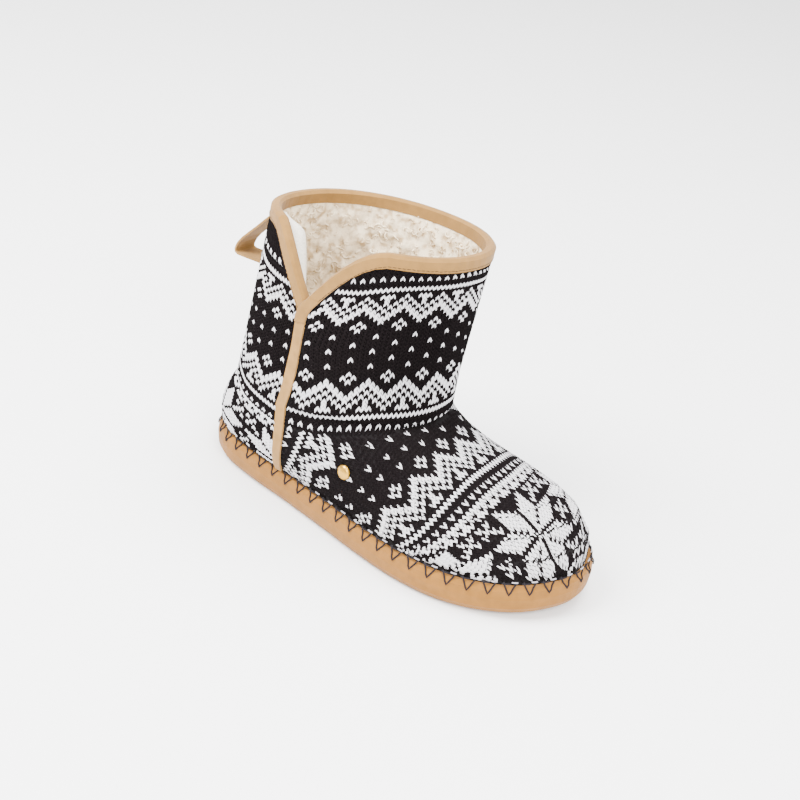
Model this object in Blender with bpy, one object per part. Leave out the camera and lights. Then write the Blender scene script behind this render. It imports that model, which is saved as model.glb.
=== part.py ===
"""Knit slipper boot for the right foot, standing empty on its sole.

Metres, +Z up, +X to the toe, -Y the outer (lateral) side. The origin is on the floor, under the
middle of the sole's length. Every piece follows one last: the sole outline, the foot domed over it,
an ankle loop and a collar loop, joined by spokes that run from the sole's edge up to the collar.
"""
import bpy
import numpy as np
from math import pi

# Driving sizes
SOLE_LENGTH = 0.262
BALL_WIDTH = 0.106
SOLE_HEIGHT = 0.019
SOLE_LEDGE = 0.0040
TOE_SPRING = 0.004
TOE_SWING = 0.010
UPPER_WALL = 0.003
CLEARANCE = 0.0003

INSTEP_RISE = 0.082
RIDGE_SHIFT = 0.005
WALL_BULGE = 0.005

ANKLE_SETBACK = 0.010
ANKLE_LENGTH = 0.141
ANKLE_WIDTH = 0.089
ANKLE_FRONT_HEIGHT = 0.077
ANKLE_BACK_HEIGHT = 0.056

COLLAR_SETBACK = 0.022
COLLAR_LENGTH = 0.130
COLLAR_WIDTH = 0.112
COLLAR_HEIGHT = 0.170
COLLAR_SLOPE = 0.052
COLLAR_SHIFT = 0.0105
COLLAR_SIDE_SLOPE = -0.10

NOTCH_DEPTH = 0.041
CREASE_DEPTH = 0.0012
CREASE_LIP = 0.0016
CREASE_REACH = 0.022

SUEDE = 0.0012
BINDING_WIDTH = 0.0062
MITRE_LIMIT = 1.7
STRIP_TOP_WIDTH = 0.0084
STRIP_FOOT_WIDTH = 0.0064
STRIP_LIFT = 0.0005
STRIP_FOOT_GAP = 0.0018
INSOLE_THICKNESS = 0.005
INSOLE_MARGIN = 0.0012

LOOP_WIDTH = 0.016
LOOP_REACH = 0.031
LOOP_DROP = 0.043
LOOP_TAB = 0.006

STUD_RADIUS = 0.0046
STUD_HEIGHT = 0.0026

# Sole outline: share of the length from the heel, then shares of half the ball width
# to the outer and the inner side
OUTLINE = (
    (0.03, 0.40, 0.40),
    (0.10, 0.66, 0.66),
    (0.20, 0.76, 0.74),
    (0.32, 0.80, 0.72),
    (0.45, 0.86, 0.74),
    (0.58, 0.95, 0.84),
    (0.70, 1.00, 0.97),
    (0.80, 0.95, 1.00),
    (0.90, 0.74, 0.86),
    (0.965, 0.44, 0.58),
)
SWING_START = 0.45
TOE_TIP_SHARE = 0.3

# Sole side: share of the sole height, inset as a share of the ledge
SOLE_SIDE = (
    (0.00, 1.50),
    (0.10, 0.70),
    (0.28, 0.16),
    (0.60, 0.00),
    (0.88, 0.12),
    (1.00, 0.60),
)
SPRING_START = 0.80

# Ridge of the foot: share of the length from the heel, share of the instep rise
RIDGE = (
    (0.00, 1.00),
    (0.40, 1.00),
    (0.50, 0.89),
    (0.56, 0.775),
    (0.64, 0.645),
    (0.72, 0.57),
    (0.80, 0.51),
    (0.87, 0.455),
    (0.93, 0.375),
    (0.97, 0.27),
    (0.99, 0.155),
    (1.00, 0.00),
)
DOME_POWER = 2.3
RIDGE_SHIFT_WIDTH = 0.6
ANKLE_POWER = 2.2
COLLAR_POWER = 2.15
SHARP_ANGLE = 0.9

# Ankle crease: share of the crease's reach above the ankle loop, share of the crease depth or lip
CREASE = (
    (-0.27, 0.0),
    (-0.07, -0.5),
    (0.00, -1.0),
    (0.07, 1.0),
    (0.36, 0.6),
    (1.00, 0.0),
)

# Stations are shares of a turn around the boot: 0 at the toe, 0.5 at the heel, 0.75 outer side
SPOKES = 64
HEEL_CROWDING = 0.055
WALL_MIDDLE = 0.3
BULGE_POWER = 0.8
DOMED_FROM = -0.1
DOMED_TO = 0.5
CREASE_FULL = 0.232
CREASE_GONE = 0.265
NOTCH_STATION = 48 / SPOKES
NOTCH_FRONT_SPAN = 0.115
NOTCH_BACK_SPAN = 0.085
NOTCH_FRONT_POWER = 2.0
NOTCH_BACK_POWER = 1.6
STRIP_STATION = 0.706
STUD_STATION = 0.815
STUD_RISE = 0.49
STUD_POINTS = 20

# Course of the side strip: share of its way up, share of its way on to the notch's station
STRIP_COURSE = (
    (0.00, 0.00),
    (0.25, 0.52),
    (0.50, 0.86),
    (0.75, 0.97),
    (1.00, 1.00),
)

FOOT_ROWS = 9
SHAFT_ROWS = 6
SOLE_STATIONS = 44


def smoothstep(low, high, value):
    share = np.clip((value - low) / (high - low), 0.0, 1.0)
    return share * share * (3.0 - 2.0 * share)


def spline(points, closed, steps):
    """Centripetal curve through the points."""
    points = np.asarray(points, float)
    count = len(points)
    if closed:
        fences = [[points[(i + k - 1) % count] for k in range(4)] for i in range(count)]
    else:
        padded = np.vstack([2 * points[0] - points[1], points, 2 * points[-1] - points[-2]])
        fences = [padded[i:i + 4] for i in range(count - 1)]
    curve = []
    for p in fences:
        t = [0.0]
        for k in range(3):
            t.append(t[-1] + max(np.linalg.norm(p[k + 1] - p[k]) ** 0.5, 1e-9))
        u = np.linspace(t[1], t[2], steps, endpoint=False)[:, None]
        a = [(t[k + 1] - u) / (t[k + 1] - t[k]) * p[k] + (u - t[k]) / (t[k + 1] - t[k]) * p[k + 1]
             for k in range(3)]
        b = [(t[k + 2] - u) / (t[k + 2] - t[k]) * a[k] + (u - t[k]) / (t[k + 2] - t[k]) * a[k + 1]
             for k in range(2)]
        curve.append((t[2] - u) / (t[2] - t[1]) * b[0] + (u - t[1]) / (t[2] - t[1]) * b[1])
    if not closed:
        curve.append(points[-1:])
    return np.vstack(curve)


def arc_lengths(points):
    return np.r_[0.0, np.cumsum(np.linalg.norm(np.diff(points, axis=0), axis=1))]


def sample_path(path, lengths, at):
    return np.stack([np.interp(at, lengths, path[:, axis]) for axis in range(path.shape[1])], axis=-1)


def sole_outline(inset):
    """Dense outline of the sole seen from above, from the heel along the outer side to the toe
    and back, moved inwards by the inset."""
    half = BALL_WIDTH / 2

    def swing(along):
        return TOE_SWING * max(0.0, (along - SWING_START) / (1.0 - SWING_START)) ** 1.5

    outer = [(along * SOLE_LENGTH, swing(along) - lateral * half) for along, lateral, _ in OUTLINE]
    inner = [(along * SOLE_LENGTH, swing(along) + medial * half) for along, _, medial in OUTLINE]
    points = [(0.0, 0.0)] + outer + [(SOLE_LENGTH, TOE_TIP_SHARE * TOE_SWING + swing(1.0))] + inner[::-1]
    curve = spline(points, True, 16)
    curve[:, 0] -= SOLE_LENGTH / 2
    tangent = np.roll(curve, -1, 0) - np.roll(curve, 1, 0)
    tangent /= np.linalg.norm(tangent, axis=1)[:, None]
    return curve - np.stack([tangent[:, 1], -tangent[:, 0]], axis=-1) * inset


def toe_rise(x):
    """Height by which the sole lifts at the toe."""
    along = x / SOLE_LENGTH + 0.5
    return TOE_SPRING * np.clip((along - SPRING_START) / (1.0 - SPRING_START), 0.0, 1.0) ** 2


class Last:
    """The form that the upper is made on."""

    def __init__(self):
        edge = sole_outline(SOLE_LEDGE)
        toe = edge[:, 0].argmax()
        self.edge = np.vstack([edge[toe:], edge[:toe + 1]])
        self.edge_lengths = arc_lengths(self.edge)
        heel = self.edge[:, 0].argmin()
        self.inner_side = self.edge[:heel + 1][::-1]
        self.outer_side = self.edge[heel:]
        self.heel_x = self.edge[:, 0].min()
        self.toe_x = self.edge[:, 0].max()
        span = self.toe_x - self.heel_x
        self.ridge = spline([(self.heel_x + along * span, rise) for along, rise in RIDGE], False, 16)

    def edge_at(self, station):
        """Foot of the wall. The stations are closer together around the heel."""
        at = (station + HEEL_CROWDING * np.sin(2 * pi * station)) * self.edge_lengths[-1]
        return sample_path(self.edge, self.edge_lengths, at)

    def dome(self, x, y):
        """Height of the foot over the sole, before it is brought to the ankle's own height."""
        outer = np.interp(x, self.outer_side[:, 0], self.outer_side[:, 1])
        inner = np.interp(x, self.inner_side[:, 0], self.inner_side[:, 1])
        middle = (outer + inner) / 2 + RIDGE_SHIFT * np.clip((inner - outer) / (RIDGE_SHIFT_WIDTH * BALL_WIDTH), 0, 1)
        side = np.where(y < middle, middle - outer, inner - middle)
        across = np.clip(np.abs(y - middle) / np.maximum(side, 1e-6), 0.0, 1.0)
        rise = np.interp(x, self.ridge[:, 0], self.ridge[:, 1])
        return INSTEP_RISE * rise * (1.0 - across ** DOME_POWER) ** (1.0 / DOME_POWER)

    def loop(self, station, setback, length, width, power):
        turn = 2 * pi * station
        c = np.cos(turn)
        s = np.sin(turn)
        x = self.heel_x + setback + length / 2 + length / 2 * np.sign(c) * np.abs(c) ** (2 / power)
        y = width / 2 * np.sign(s) * np.abs(s) ** (2 / power)
        return x, y

    def ankle(self, station):
        x, y = self.loop(station, ANKLE_SETBACK, ANKLE_LENGTH, ANKLE_WIDTH, ANKLE_POWER)
        front = smoothstep(-1.0, 1.0, np.cos(2 * pi * station))
        return np.stack([x, y, ANKLE_BACK_HEIGHT + (ANKLE_FRONT_HEIGHT - ANKLE_BACK_HEIGHT) * front], -1)

    def collar(self, station):
        x, y = self.loop(station, COLLAR_SETBACK, COLLAR_LENGTH, COLLAR_WIDTH, COLLAR_POWER)
        middle = self.heel_x + COLLAR_SETBACK + COLLAR_LENGTH / 2
        z = COLLAR_HEIGHT + COLLAR_SLOPE * (x - middle) + COLLAR_SIDE_SLOPE * y
        return np.stack([x, y + COLLAR_SHIFT, z], -1)

    def notch(self, station):
        """Drop of the collar's edge at the side notch."""
        ahead = station - NOTCH_STATION
        span = np.where(ahead > 0, NOTCH_FRONT_SPAN, NOTCH_BACK_SPAN)
        share = np.clip(1.0 - np.abs(ahead) / span, 0.0, 1.0)
        return NOTCH_DEPTH * share ** np.where(ahead > 0, NOTCH_FRONT_POWER, NOTCH_BACK_POWER)

    def spoke(self, station):
        """Path up the outside of the upper, from the sole's edge over the ankle to the full collar
        height, and the length along it at which the ankle lies."""
        foot = self.edge_at(np.array([station]))[0]
        ankle = self.ankle(np.array([station]))[0]
        collar = self.collar(np.array([station]))[0]
        floor = SOLE_HEIGHT + CLEARANCE + toe_rise(foot[0])
        share = np.linspace(0.0, 1.0, 121)
        plan = foot + (ankle[:2] - foot) * (share ** 2)[:, None]
        rise = self.dome(plan[:, 0], plan[:, 1])
        rise = rise + (ankle[2] - floor - rise[-1]) * share ** 2
        domed = np.column_stack([plan, floor + rise])
        lengths = arc_lengths(domed)
        domed = sample_path(domed, lengths, share * lengths[-1])
        middle = np.array([self.heel_x + WALL_MIDDLE * SOLE_LENGTH, 0.0])
        outwards = (foot - middle) / np.linalg.norm(foot - middle)
        bulge = WALL_BULGE * np.sin(pi * share ** BULGE_POWER)
        plan = foot + (ankle[:2] - foot) * share[:, None] + outwards * bulge[:, None]
        upright = np.column_stack([plan, floor + (ankle[2] - floor) * share])
        front = smoothstep(DOMED_FROM, DOMED_TO, np.cos(2 * pi * station))
        foot_path = front * domed + (1.0 - front) * upright
        shaft_path = ankle + (collar - ankle) * share[1:, None]
        return np.vstack([foot_path, shaft_path]), arc_lengths(foot_path)[-1]


LAST = Last()


def crease_share(station):
    """1 where the ankle is seamed, around the front, and 0 behind the side strip."""
    away = np.abs((station + 0.5) % 1.0 - 0.5)
    return 1.0 - smoothstep(CREASE_FULL, CREASE_GONE, away)


def crease_offset(station, above):
    share = np.interp(above / CREASE_REACH, [row[0] for row in CREASE], [row[1] for row in CREASE])
    return crease_share(station) * np.where(share < 0, share * CREASE_DEPTH, share * CREASE_LIP)


def upper_point(station, above):
    """Point and outward normal on the outside of the upper, at a distance above the ankle."""
    def raw(where, rise):
        path, ankle = LAST.spoke(where % 1.0)
        return sample_path(path, arc_lengths(path), np.array([ankle + rise]))[0]

    step = 1e-3
    point = raw(station, above)
    along = raw(station + step, above) - raw(station - step, above)
    up = raw(station, above + step) - raw(station, above - step)
    normal = np.cross(along, up)
    return point, normal / np.linalg.norm(normal)


def collar_rise(station):
    """Length along the spoke from the ankle up to the collar's edge, notch included."""
    path, ankle = LAST.spoke(station % 1.0)
    full = arc_lengths(path)[-1] - ankle
    height = path[-1, 2] - LAST.ankle(np.array([station % 1.0]))[0, 2]
    return full * (1.0 - float(LAST.notch(np.array([station % 1.0]))[0]) / height)


def foot_rise(station):
    return -LAST.spoke(station % 1.0)[1]


def upper_grid():
    """Points and normals on the outside of the upper: a row for each height, a column a spoke."""
    points = []
    for spoke in range(SPOKES):
        station = spoke / SPOKES
        path, ankle = LAST.spoke(station)
        lengths = arc_lengths(path)
        low = CREASE[0][0] * CREASE_REACH
        high = CREASE[4][0] * CREASE_REACH
        foot = np.linspace(-ankle, low, FOOT_ROWS)
        shaft = np.linspace(high, collar_rise(station), SHAFT_ROWS + 1)
        crease = [row[0] * CREASE_REACH for row in CREASE[1:4]]
        above = np.r_[foot, crease, shaft]
        points.append(sample_path(path, lengths, ankle + above))
        points[-1] = np.column_stack([points[-1], above])
    grid = np.stack(points, axis=1)
    place = grid[..., :3]
    around = np.roll(place, -1, 1) - np.roll(place, 1, 1)
    up = np.gradient(place, axis=0)
    normal = np.cross(around, up)
    normal /= np.linalg.norm(normal, axis=2)[..., None]
    stations = np.arange(SPOKES) / SPOKES
    offset = crease_offset(stations[None, :], grid[..., 3])
    return place + normal * offset[..., None], normal


def make_object(name, vertices, faces, colour, roughness, metallic=0.0):
    mesh = bpy.data.meshes.new(name)
    mesh.from_pydata([tuple(v) for v in np.asarray(vertices, float)], [], [tuple(f) for f in faces])
    mesh.validate()
    mesh.shade_smooth()
    mesh.set_sharp_from_angle(angle=SHARP_ANGLE)
    material = bpy.data.materials.new(name)
    material.use_nodes = True
    shader = material.node_tree.nodes["Principled BSDF"]
    shader.inputs["Base Color"].default_value = (*colour, 1.0)
    shader.inputs["Roughness"].default_value = roughness
    shader.inputs["Metallic"].default_value = metallic
    mesh.materials.append(material)
    item = bpy.data.objects.new(name, mesh)
    bpy.context.scene.collection.objects.link(item)
    return item


def band_faces(lower, upper, count, closed=True):
    """Quads between two rows of vertices, facing outwards where the rows run anticlockwise."""
    last = count if closed else count - 1
    return [(lower + k, lower + (k + 1) % count, upper + (k + 1) % count, upper + k) for k in range(last)]


def swept_solid(sections):
    """Closed solid through sections of equal count, with a cap on each end."""
    count = len(sections[0])
    vertices = np.vstack(sections)
    faces = []
    for row in range(len(sections) - 1):
        faces += band_faces(row * count, (row + 1) * count, count)
    faces.append(list(range(count))[::-1])
    last = (len(sections) - 1) * count
    faces.append(list(range(last, last + count)))
    return vertices, faces


def plan_ring(inset):
    """Outline of the sole in plan: the heel, the outer side to the toe, and back along the inner
    side, with each outer point straight across from an inner one."""
    curve = sole_outline(inset)
    toe = curve[:, 0].argmax()
    turned = np.vstack([curve[toe:], curve[:toe + 1]])
    heel = turned[:, 0].argmin()
    inner = turned[:heel + 1][::-1]
    outer = turned[heel:]
    share = (1.0 - np.cos(pi * np.arange(SOLE_STATIONS + 1) / SOLE_STATIONS)) / 2
    x = turned[heel, 0] + (turned[0, 0] - turned[heel, 0]) * share
    outer_y = np.interp(x, outer[:, 0], outer[:, 1])
    inner_y = np.interp(x, inner[:, 0], inner[:, 1])
    there = np.column_stack([x, outer_y])
    back = np.column_stack([x, inner_y])[1:-1][::-1]
    return np.vstack([there, back])


def plan_solid(rings):
    """Closed solid through plan rings, lowest first. The caps are strips straight across, so they
    follow the lift of the toe."""
    count = 2 * SOLE_STATIONS
    vertices = np.vstack(rings)
    faces = []
    for row in range(len(rings) - 1):
        faces += band_faces(row * count, (row + 1) * count, count)
    top = (len(rings) - 1) * count
    for k in range(SOLE_STATIONS):
        strip = [k, k + 1, count - k - 1, (count - k) % count]
        strip = list(dict.fromkeys(strip))
        faces.append([top + corner for corner in strip])
        faces.append(strip[::-1])
    return vertices, faces


def make_outsole():
    rings = []
    for height, inset in SOLE_SIDE:
        plan = plan_ring(inset * SOLE_LEDGE)
        rings.append(np.column_stack([plan, height * SOLE_HEIGHT + toe_rise(plan[:, 0])]))
    vertices, faces = plan_solid(rings)
    make_object("outsole", vertices, faces, (0.62, 0.39, 0.21), 0.9)


def make_insole():
    inset = SOLE_LEDGE + UPPER_WALL + INSOLE_MARGIN
    rings = []
    for share, taper in ((0.0, 0.0), (0.7, 0.0), (1.0, 0.35)):
        plan = plan_ring(inset + taper * INSOLE_THICKNESS)
        base = SOLE_HEIGHT + CLEARANCE + toe_rise(plan[:, 0])
        rings.append(np.column_stack([plan, base + share * INSOLE_THICKNESS]))
    vertices, faces = plan_solid(rings)
    make_object("insole", vertices, faces, (0.80, 0.71, 0.58), 0.95)


def make_upper():
    outside, normal = upper_grid()
    inside = outside - normal * UPPER_WALL
    inside[0, :, 2] = outside[0, :, 2]
    rows = len(outside)
    vertices = np.vstack([outside.reshape(-1, 3), inside.reshape(-1, 3)])
    inner = rows * SPOKES
    faces = []
    for row in range(rows - 1):
        low = row * SPOKES
        high = low + SPOKES
        faces += band_faces(low, high, SPOKES)
        faces += [face[::-1] for face in band_faces(inner + low, inner + high, SPOKES)]
    top = (rows - 1) * SPOKES
    faces += band_faces(top, inner + top, SPOKES)
    faces += [face[::-1] for face in band_faces(0, inner, SPOKES)]
    make_object("upper", vertices, faces, (0.03, 0.025, 0.025), 0.95)


def binding_leg(station):
    """Length of the binding's leg down the wall: longer where the collar's edge runs steeply, so
    that the band keeps its width."""
    edge = [upper_point(station + step / SPOKES, collar_rise(station + step / SPOKES))[0]
            for step in (-1, 0, 1)]
    slopes = [abs(b[2] - a[2]) / np.linalg.norm(b[:2] - a[:2]) for a, b in zip(edge, edge[1:])]
    return BINDING_WIDTH * min(np.sqrt(1.0 + max(slopes) ** 2), MITRE_LIMIT)


def make_collar_binding():
    """Suede folded over the collar's edge, with a leg down each side of the wall."""
    outer_leg = CLEARANCE + SUEDE
    inner_leg = -UPPER_WALL - CLEARANCE - SUEDE
    stations = np.arange(SPOKES) / SPOKES
    sections = []
    for station in stations:
        rise = collar_rise(station)
        top, normal = upper_point(station, rise)
        up = top - upper_point(station, rise - 0.002)[0]
        up /= np.linalg.norm(up)
        foot, foot_normal = upper_point(station, rise - binding_leg(station))
        middle = -UPPER_WALL / 2
        sections.append([
            foot + foot_normal * CLEARANCE,
            foot + foot_normal * outer_leg,
            top + normal * outer_leg,
            top + normal * (0.4 * outer_leg + 0.6 * middle) + up * (CLEARANCE + SUEDE),
            top + normal * (0.4 * inner_leg + 0.6 * middle) + up * (CLEARANCE + SUEDE),
            top + normal * inner_leg,
            foot + foot_normal * inner_leg,
            foot + foot_normal * (-UPPER_WALL - CLEARANCE),
            top + normal * (-UPPER_WALL - CLEARANCE) + up * CLEARANCE,
            top + normal * CLEARANCE + up * CLEARANCE,
        ])
    sections = np.array(sections)
    count = sections.shape[1]
    faces = []
    for spoke in range(SPOKES):
        here = spoke * count
        there = (spoke + 1) % SPOKES * count
        faces += [(here + k, there + k, there + (k + 1) % count, here + (k + 1) % count)
                  for k in range(count)]
    make_object("collar_binding", sections.reshape(-1, 3), faces, (0.66, 0.47, 0.32), 0.85)


def make_side_strip():
    """Flat suede strip from the notch down to the sole."""
    top_rise = collar_rise(NOTCH_STATION) - binding_leg(NOTCH_STATION) - CLEARANCE
    bottom_rise = foot_rise(STRIP_STATION) + STRIP_FOOT_GAP + CLEARANCE
    course = spline(STRIP_COURSE, False, 8)
    rows = 18
    columns = 4
    sections = []
    for row in range(rows + 1):
        share = row / rows
        rise = bottom_rise + (top_rise - bottom_rise) * share
        onward = np.interp(share, course[:, 0], course[:, 1])
        station = STRIP_STATION + (NOTCH_STATION - STRIP_STATION) * onward
        width = STRIP_FOOT_WIDTH + (STRIP_TOP_WIDTH - STRIP_FOOT_WIDTH) * share
        step = 1e-3
        pace = np.linalg.norm(upper_point(station + step, rise)[0] - upper_point(station, rise)[0]) / step
        near = []
        far = []
        for column in range(columns + 1):
            side = (column / columns - 0.5) * width / pace
            point, normal = upper_point(station + side, rise)
            proud = max(0.0, float(crease_offset(station + side, rise)))
            near.append(point + normal * (STRIP_LIFT + proud))
            far.append(point + normal * (STRIP_LIFT + proud + SUEDE))
        sections.append(far + near[::-1])
    vertices, faces = swept_solid(sections)
    make_object("side_strip", vertices, faces, (0.72, 0.53, 0.36), 0.85)


def make_pull_loop():
    """Suede strip sewn to the back below the binding, standing out in a drooping loop."""
    back = 0.5
    tilt = abs(COLLAR_SIDE_SLOPE) * LOOP_WIDTH / 2
    start = collar_rise(back) - binding_leg(back) - tilt - 2 * CLEARANCE
    lift = 2 * CLEARANCE + SUEDE / 2

    def place(down, out):
        point, normal = upper_point(back, start - down)
        return point + normal * (lift + out)

    route = [
        place(0.0, 0.0),
        place(0.5 * LOOP_TAB, 0.0),
        place(LOOP_TAB, 0.16 * LOOP_REACH),
        place(0.55 * LOOP_DROP, 0.60 * LOOP_REACH),
        place(0.92 * LOOP_DROP, 0.96 * LOOP_REACH),
        place(1.06 * LOOP_DROP, 0.97 * LOOP_REACH),
        place(1.04 * LOOP_DROP, 0.66 * LOOP_REACH),
        place(0.99 * LOOP_DROP, 0.20 * LOOP_REACH),
        place(LOOP_DROP + 0.6 * LOOP_TAB, 0.0),
        place(LOOP_DROP + 1.2 * LOOP_TAB, 0.0),
    ]
    path = spline(route, False, 3)
    tangent = np.gradient(path, axis=0)
    width = np.array([0.0, LOOP_WIDTH / 2, 0.0])
    across = np.cross(tangent, width)
    across /= np.linalg.norm(across, axis=1)[:, None]
    sections = []
    for point, thick in zip(path, across * SUEDE / 2):
        sections.append([point - thick - width, point - thick + width,
                         point + thick + width, point + thick - width])
    vertices, faces = swept_solid(sections)
    make_object("pull_loop", vertices, faces, (0.55, 0.38, 0.24), 0.85)


def make_stud():
    """Domed metal stud, flat against the upper."""
    rise = foot_rise(STUD_STATION) * (1.0 - STUD_RISE)
    point, normal = upper_point(STUD_STATION, rise)
    side = np.cross((0.0, 0.0, 1.0), normal)
    side /= np.linalg.norm(side)
    up = np.cross(normal, side)
    profile = [(1.0, 0.0)]
    for step in range(1, 5):
        turn = step / 5 * pi / 2
        profile.append((np.cos(turn), np.sin(turn)))
    rings = []
    for radius, height in profile:
        ring = []
        for k in range(STUD_POINTS):
            turn = 2 * pi * k / STUD_POINTS
            flat = side * np.cos(turn) + up * np.sin(turn)
            ring.append(point + normal * (CLEARANCE * 2 + STUD_HEIGHT * height) + flat * STUD_RADIUS * radius)
        rings.append(ring)
    vertices, faces = swept_solid(rings)
    make_object("stud", vertices, faces, (0.80, 0.62, 0.33), 0.3, 1.0)


def main():
    for item in list(bpy.data.objects):
        bpy.data.objects.remove(item, do_unlink=True)
    make_outsole()
    make_insole()
    make_upper()
    make_collar_binding()
    make_side_strip()
    make_pull_loop()
    make_stud()


main()
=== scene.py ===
"""Knit slipper boot for the right foot: its looks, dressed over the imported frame.

Metres, in the frame's own axes: +X to the toe, -Y the outer side, +Z up. The knit is made stitch by
stitch over nets measured off the frame's upper, from one charted repeat.
"""

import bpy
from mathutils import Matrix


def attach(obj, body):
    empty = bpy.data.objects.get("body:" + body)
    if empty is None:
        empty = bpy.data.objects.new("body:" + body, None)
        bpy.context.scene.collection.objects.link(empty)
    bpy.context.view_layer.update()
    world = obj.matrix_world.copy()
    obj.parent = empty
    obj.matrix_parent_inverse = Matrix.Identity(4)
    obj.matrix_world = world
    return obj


bl_info = {
    "name": "Knit slipper boot",
    "version": (1, 0, 0),
    "blender": (4, 5, 0),
    "location": "3D View > Sidebar > Slipper",
    "description": "Dresses the frame of a knit slipper boot in stitches, suede and fleece",
    "category": "Add Mesh",
}

from math import cos, pi, radians, sin

import bpy
import numpy as np
from mathutils import Matrix, Vector
from mathutils.bvhtree import BVHTree
from mathutils.noise import turbulence

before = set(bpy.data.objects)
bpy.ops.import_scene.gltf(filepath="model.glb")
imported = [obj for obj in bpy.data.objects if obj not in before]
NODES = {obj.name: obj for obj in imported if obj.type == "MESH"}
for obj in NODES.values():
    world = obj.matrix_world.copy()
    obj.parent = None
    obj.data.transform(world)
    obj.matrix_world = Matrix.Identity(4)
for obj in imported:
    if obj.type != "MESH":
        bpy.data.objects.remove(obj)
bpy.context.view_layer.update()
MM = 0.001

# The chart: rows counted from the white line that parts the two bands, columns from a star's axis
REPEAT_ROWS = 70
STAR_BAND_ROWS = 36
STAR_CENTRE_ROW = 18
STAR_REPEAT = 20
CHEVRON_REPEAT = 8
LOWER_LINE_ROW = STAR_BAND_ROWS - REPEAT_ROWS
# White cells of a star beside its petals: rows and columns from its middle
STAR_CELLS = ((0, 0), (1, 1), (0, 10), (1, 9), (9, 7), (9, 9), (8, 8), (7, 7), (7, 9), (6, 6))
# Chevron band: rows from its edge at which zigzags turn, and single cells by row and column from an axis
CHEVRON_LINES = (2, 4, 5)
CHEVRON_CELLS = ((2, 0), (2, 1), (3, 0), (4, 0), (9, 4), (10, 3), (11, 4), (13, 0), (15, 4), (17, 0))

# Foot: row, mm along the ridge from the strip's end, bend of the row per mm cubed
FOOT_ROWS = (
    (-48, -28.0, 8e-5), (-34, 14.5, 6.2e-5), (-24, 47.9, 11e-5), (-21, 60.3, 12e-5),
    (-19, 67.3, 12e-5), (-15, 76.2, 11e-5), (-13, 81.2, 11e-5), (-10, 88.5, 10e-5),
    (0, 115.8, 9e-5), (3, 123.3, 11e-5), (5, 128.8, 13e-5), (7, 134.3, 15e-5),
    (9, 139.3, 17e-5), (18, 163.3, 25e-5), (27, 187.0, 25e-5), (36, 210.0, 25e-5),
)
# Foot: row, mm by which its outer columns lie nearer to the ridge
FOOT_DRIFT = ((-32, 16.0), (-24, 7.5), (-19, 4.5), (-15, 3.3), (-10, 1.7), (-2, 0.0))
FOOT_AXIS = -17.0
FOOT_BEND_MIDDLE = -19.0
FOOT_BEND_REACH = 46.0
# Foot: mm across of a column and what each further one adds, on the outer and on the inner side
OUTER_GAUGE = (2.4, 0.025)
INNER_GAUGE = (2.2, -0.02)
DRIFT_COLUMNS = 10
# Foot's net: where it starts, gets dense and ends in x, and where the shaft's opening ends
FOOT_NET_SPAN = (-0.064, 0.118)
FOOT_NET_END = 0.1267
FOOT_NET_DENSE = 0.0085
FOOT_OPEN_X = 0.0295
# Foot's net: x from which lengths along the ridge count, slope of the ridge over the opening in degrees
RIDGE_START_X = -0.045
OPENING_SLOPE = 18
# Foot's net: its lowest points, and the height at which its two sides are tied beside the opening
FOOT_LOWEST = 0.0193
FOOT_LEVEL = 0.034
TOE_SWING = 0.012

# Shaft: chart row, share of the way down from the upper white line to the lower one
SHAFT_ROWS = ((-34, 1.0), (-24, 0.676), (-19, 0.53), (-15, 0.41), (-10, 0.27), (0, 0.0))
# Front of the shaft: mm around from the outer side, heights of the upper and the lower white line
FRONT_LINES = (
    (0, 140.0, 65.6), (20, 149.0, 69.2), (33, 152.3, 73.5), (42, 155.8, 77.0), (50, 158.3, 79.8),
    (58, 159.8, 82.2), (67, 160.7, 83.6), (77, 160.6, 84.7), (89, 160.0, 85.2), (102, 158.7, 85.4),
    (118, 156.0, 84.0), (140, 152.5, 80.0), (165, 150.0, 73.0), (200, 149.0, 66.0),
)
# Front of the shaft: mm around of every fourth column, at four rows
FRONT_COLUMNS = (
    # column, row 0, row -16, row -24, row -34
    (-17, -13.0, -33.0, -29.0, -28.0),
    (-9, 7.5, -7.5, -4.0, -2.0),
    (-5, 18.0, 6.2, 9.3, 11.5),
    (-1, 28.3, 21.0, 23.0, 26.0),
    (3, 38.5, 34.7, 36.0, 37.5),
    (7, 49.2, 45.9, 47.2, 49.0),
    (11, 58.7, 57.0, 57.0, 59.0),
    (15, 68.3, 66.8, 66.5, 69.3),
    (19, 78.8, 76.3, 76.0, 79.0),
    (23, 89.5, 86.0, 86.0, 89.0),
    (27, 101.0, 97.0, 97.5, 99.0),
    (31, 112.0, 107.0, 107.5, 109.5),
    (55, 176.0, 170.0, 170.0, 172.0),
)
FRONT_COLUMN_ROWS = (0, -16, -24, -34)
# Front of the shaft: mm around, height of a row above the upper white line; and below the lower one
FRONT_ABOVE = ((40.0, 2.35), (66.0, 1.75))
FRONT_BELOW = 2.35
# Back panel: mm back from the strip, heights of the upper and the lower white line
BACK_LINES = (
    (0, 140.0, 60.8), (10, 140.2, 61.2), (26, 140.6, 61.6), (38, 141.0, 62.4), (50, 142.5, 65.2),
    (60, 144.0, 66.0), (96, 148.0, 67.0), (140, 148.0, 66.5), (200, 147.0, 66.0),
)
# Back panel: row, mm from the strip to its first crown, mm between columns
BACK_COLUMNS = ((-60, 8.0, 3.3), (-52, 8.0, 3.4), (-43, 8.3, 3.5), (-34, 8.8, 3.1), (0, 8.0, 2.96))
# Back panel: row below the lower white line, mm below it
BACK_FOOT = ((-60, 54.0), (-52, 36.0), (-43, 16.6), (-41, 12.3), (-39, 8.1), (-37, 5.5), (-34, 0.0))
BACK_ABOVE = 3.1
BACK_FIRST_COLUMN = -17
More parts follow.
